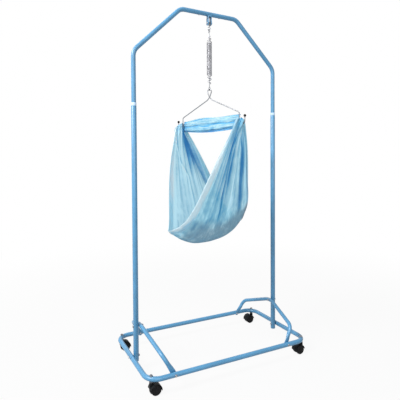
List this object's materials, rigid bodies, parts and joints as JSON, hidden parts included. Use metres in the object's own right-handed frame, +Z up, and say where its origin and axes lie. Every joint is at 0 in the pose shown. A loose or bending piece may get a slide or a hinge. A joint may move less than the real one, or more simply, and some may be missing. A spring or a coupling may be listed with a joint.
{
  "type": "cradle with stand",
  "caption": "Fabric sling cradle on a spring and wire hanger, in a bent-tube stand with a wheeled base.",
  "frame": {"origin": "on the floor under the middle of the stand", "axes": "+Z up, +X along the stand's long side, +Y to the back"},
  "size_m": [0.8866, 0.5172, 1.7611],
  "materials": {
    "frame_paint": "gloss",
    "plated_steel": "satin",
    "spring_steel": "gloss",
    "black_plastic": "satin",
    "wheel_plastic": "matte",
    "collar_plastic": "satin",
    "cradle_cloth": "gauze"
  },
  "bodies": {
    "root": {"base_rail_front": "frame_paint", "base_rail_rear": "frame_paint", "post_left": "frame_paint", "post_right": "frame_paint", "collar_left": "collar_plastic", "collar_right": "collar_plastic", "upper_tube_left": "frame_paint", "upper_tube_right": "frame_paint", "splice_sleeve": "plated_steel", "splice_screw_left": "plated_steel", "splice_screw_right": "plated_steel", "hanger_bracket": "frame_paint", "bracket_pin": "plated_steel", "bracket_pin_nut": "plated_steel", "brace_left": "frame_paint", "brace_right": "frame_paint", "rail_bolt_left": "plated_steel", "rail_bolt_right": "plated_steel", "brace_top_bolt_left": "plated_steel", "brace_top_bolt_right": "plated_steel", "brace_foot_bolt_front_left": "plated_steel", "brace_foot_bolt_front_right": "plated_steel", "brace_foot_bolt_rear_left": "plated_steel", "brace_foot_bolt_rear_right": "plated_steel", "caster_stem_front_left": "plated_steel", "caster_stem_front_right": "plated_steel", "caster_stem_rear_left": "plated_steel", "caster_stem_rear_right": "plated_steel", "stem_nut_front_left": "plated_steel", "stem_nut_front_right": "plated_steel", "stem_nut_rear_left": "plated_steel", "stem_nut_rear_right": "plated_steel"},
    "caster_front_left": {"caster_hood_front_left": "black_plastic", "caster_axle_front_left": "plated_steel"},
    "wheel_front_left_a": {"caster_wheel_front_left_a": "wheel_plastic"},
    "wheel_front_left_b": {"caster_wheel_front_left_b": "wheel_plastic"},
    "caster_front_right": {"caster_hood_front_right": "black_plastic", "caster_axle_front_right": "plated_steel"},
    "wheel_front_right_a": {"caster_wheel_front_right_a": "wheel_plastic"},
    "wheel_front_right_b": {"caster_wheel_front_right_b": "wheel_plastic"},
    "caster_rear_left": {"caster_hood_rear_left": "black_plastic", "caster_axle_rear_left": "plated_steel"},
    "wheel_rear_left_a": {"caster_wheel_rear_left_a": "wheel_plastic"},
    "wheel_rear_left_b": {"caster_wheel_rear_left_b": "wheel_plastic"},
    "caster_rear_right": {"caster_hood_rear_right": "black_plastic", "caster_axle_rear_right": "plated_steel"},
    "wheel_rear_right_a": {"caster_wheel_rear_right_a": "wheel_plastic"},
    "wheel_rear_right_b": {"caster_wheel_rear_right_b": "wheel_plastic"},
    "link": {"pin_link": "plated_steel"},
    "top_hook": {"spring_top_hook": "plated_steel"},
    "coil": {"spring": "spring_steel"},
    "low_hook": {"spring_low_hook": "plated_steel"},
    "cradle": {"hanger_wire": "plated_steel", "ball_cap_left": "black_plastic", "ball_cap_right": "black_plastic", "cloth_left_side": "cradle_cloth", "cloth_seat": "cradle_cloth", "cloth_right_side": "cradle_cloth", "cloth_top_band": "cradle_cloth"}
  },
  "joints": [
    {"name": "caster_swivel_front_left", "type": "hinge", "parent": "root", "child": "caster_front_left", "pos_m": [-0.41118, -0.22643, 0.05], "axis": [0, 0, 1], "continuous": true},
    {"name": "wheel_spin_front_left_a", "type": "hinge", "parent": "caster_front_left", "child": "wheel_front_left_a", "pos_m": [-0.39318, -0.22643, 0.0225], "axis": [0, 1, 0], "continuous": true},
    {"name": "wheel_spin_front_left_b", "type": "hinge", "parent": "caster_front_left", "child": "wheel_front_left_b", "pos_m": [-0.39318, -0.22643, 0.0225], "axis": [0, 1, 0], "continuous": true},
    {"name": "caster_swivel_front_right", "type": "hinge", "parent": "root", "child": "caster_front_right", "pos_m": [0.41118, -0.22643, 0.05], "axis": [0, 0, 1], "continuous": true},
    {"name": "wheel_spin_front_right_a", "type": "hinge", "parent": "caster_front_right", "child": "wheel_front_right_a", "pos_m": [0.39318, -0.22643, 0.0225], "axis": [0, 1, 0], "continuous": true},
    {"name": "wheel_spin_front_right_b", "type": "hinge", "parent": "caster_front_right", "child": "wheel_front_right_b", "pos_m": [0.39318, -0.22643, 0.0225], "axis": [0, 1, 0], "continuous": true},
    {"name": "caster_swivel_rear_left", "type": "hinge", "parent": "root", "child": "caster_rear_left", "pos_m": [-0.41118, 0.22643, 0.05], "axis": [0, 0, 1], "continuous": true},
    {"name": "wheel_spin_rear_left_a", "type": "hinge", "parent": "caster_rear_left", "child": "wheel_rear_left_a", "pos_m": [-0.39318, 0.22643, 0.0225], "axis": [0, 1, 0], "continuous": true},
    {"name": "wheel_spin_rear_left_b", "type": "hinge", "parent": "caster_rear_left", "child": "wheel_rear_left_b", "pos_m": [-0.39318, 0.22643, 0.0225], "axis": [0, 1, 0], "continuous": true},
    {"name": "caster_swivel_rear_right", "type": "hinge", "parent": "root", "child": "caster_rear_right", "pos_m": [0.41118, 0.22643, 0.05], "axis": [0, 0, 1], "continuous": true},
    {"name": "wheel_spin_rear_right_a", "type": "hinge", "parent": "caster_rear_right", "child": "wheel_rear_right_a", "pos_m": [0.39318, 0.22643, 0.0225], "axis": [0, 1, 0], "continuous": true},
    {"name": "wheel_spin_rear_right_b", "type": "hinge", "parent": "caster_rear_right", "child": "wheel_rear_right_b", "pos_m": [0.39318, 0.22643, 0.0225], "axis": [0, 1, 0], "continuous": true},
    {"name": "link_swing", "type": "hinge", "parent": "root", "child": "link", "pos_m": [0, 0, 1.705], "axis": [1, 0, 0], "range_deg": [-20, 20]},
    {"name": "spring_hang", "type": "hinge", "parent": "link", "child": "top_hook", "pos_m": [0, 0, 1.6736], "axis": [0, 1, 0], "range_deg": [-4, 4]},
    {"name": "spring_swivel", "type": "hinge", "parent": "top_hook", "child": "coil", "pos_m": [0, 0, 1.6186], "axis": [0, 0, 1], "continuous": true},
    {"name": "bounce", "type": "slide", "parent": "coil", "child": "low_hook", "axis": [0, 0, -1], "range_m": [0, 0.16], "stiffness_N_per_m": 250, "springref_m": -0.1, "deforming": ["spring"]},
    {"name": "hanger_tilt", "type": "hinge", "parent": "low_hook", "child": "cradle", "pos_m": [0, 0, 1.3616], "axis": [0.9041, 0.4274, 0], "range_deg": [-4, 4]}
  ]
}
